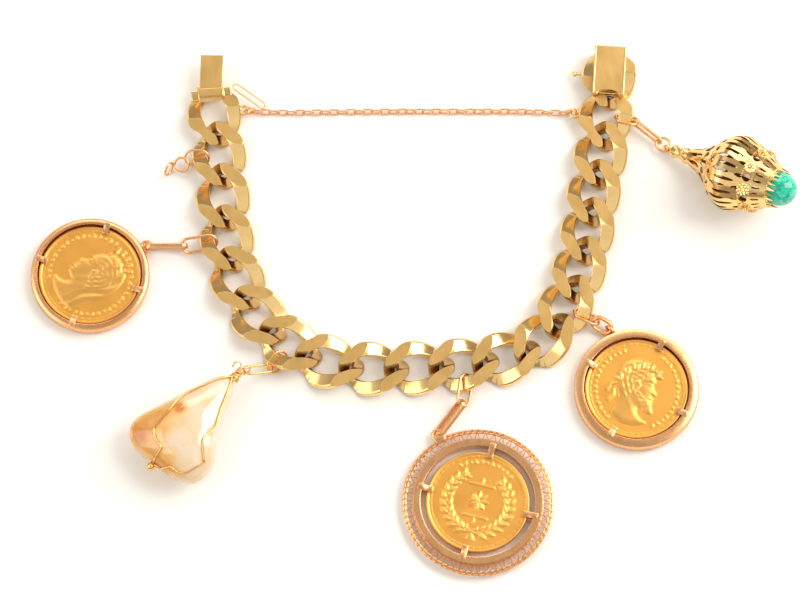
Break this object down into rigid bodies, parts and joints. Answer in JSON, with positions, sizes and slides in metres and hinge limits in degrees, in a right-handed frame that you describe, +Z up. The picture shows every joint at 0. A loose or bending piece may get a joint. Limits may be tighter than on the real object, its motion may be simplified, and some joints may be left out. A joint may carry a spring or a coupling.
{
  "type": "charm bracelet",
  "caption": "Heavy filed curb-link bracelet in gold with a box clasp, a fine safety chain and coin, filigree, pebble and openwork charms, lying open on a surface.",
  "frame": {"origin": "middle of the whole jewel's outline in plan, on the surface that it lies on", "axes": "+X along the jewel's longest extent, from the left coin charm to the openwork charm; +Y towards the bracelet's open ends; +Z up from the surface"},
  "size_m": [0.1576, 0.113, 0.0171],
  "materials": {
    "chain_gold": "satin filed gold",
    "coin_gold": "struck yellow gold",
    "rose_gold": "polished rose gold",
    "wire_gold": "polished yellow gold wire",
    "openwork_gold": "polished pierced gold",
    "citrine": "tumbled translucent stone",
    "green_stone": "polished marbled cabochon"
  },
  "bodies": {
    "root": {"tongue_link": "chain_gold", "link_02": "chain_gold", "link_03": "chain_gold", "link_04": "chain_gold", "link_05": "chain_gold", "link_06": "chain_gold", "link_07": "chain_gold", "link_08": "chain_gold", "link_09": "chain_gold", "link_10": "chain_gold", "link_11": "chain_gold", "link_12": "chain_gold", "link_13": "chain_gold", "link_14": "chain_gold", "link_15": "chain_gold", "link_16": "chain_gold", "link_17": "chain_gold", "link_18": "chain_gold", "link_19": "chain_gold", "clasp_box": "chain_gold", "safety_chain": "rose_gold", "safety_ring_left": "rose_gold", "safety_ring_right": "rose_gold", "safety_loop": "rose_gold", "spare_ring_1": "rose_gold", "spare_ring_2": "rose_gold", "spare_ring_3": "rose_gold", "left_coin": "coin_gold", "left_coin_frame": "rose_gold", "left_bail": "rose_gold", "left_jump_ring": "rose_gold", "right_coin": "coin_gold", "right_coin_frame": "rose_gold", "right_bail": "rose_gold", "right_jump_ring": "rose_gold", "centre_coin": "coin_gold", "centre_coin_frame": "rose_gold", "centre_bail": "rose_gold", "centre_jump_ring": "rose_gold", "pebble": "citrine", "pebble_wire": "wire_gold", "pebble_ring": "wire_gold", "pebble_jump_ring": "wire_gold", "top_charm_body": "openwork_gold", "top_charm_stone": "green_stone", "top_ring": "rose_gold", "top_oval_link": "rose_gold", "top_jump_ring": "rose_gold"}
  },
  "joints": []
}
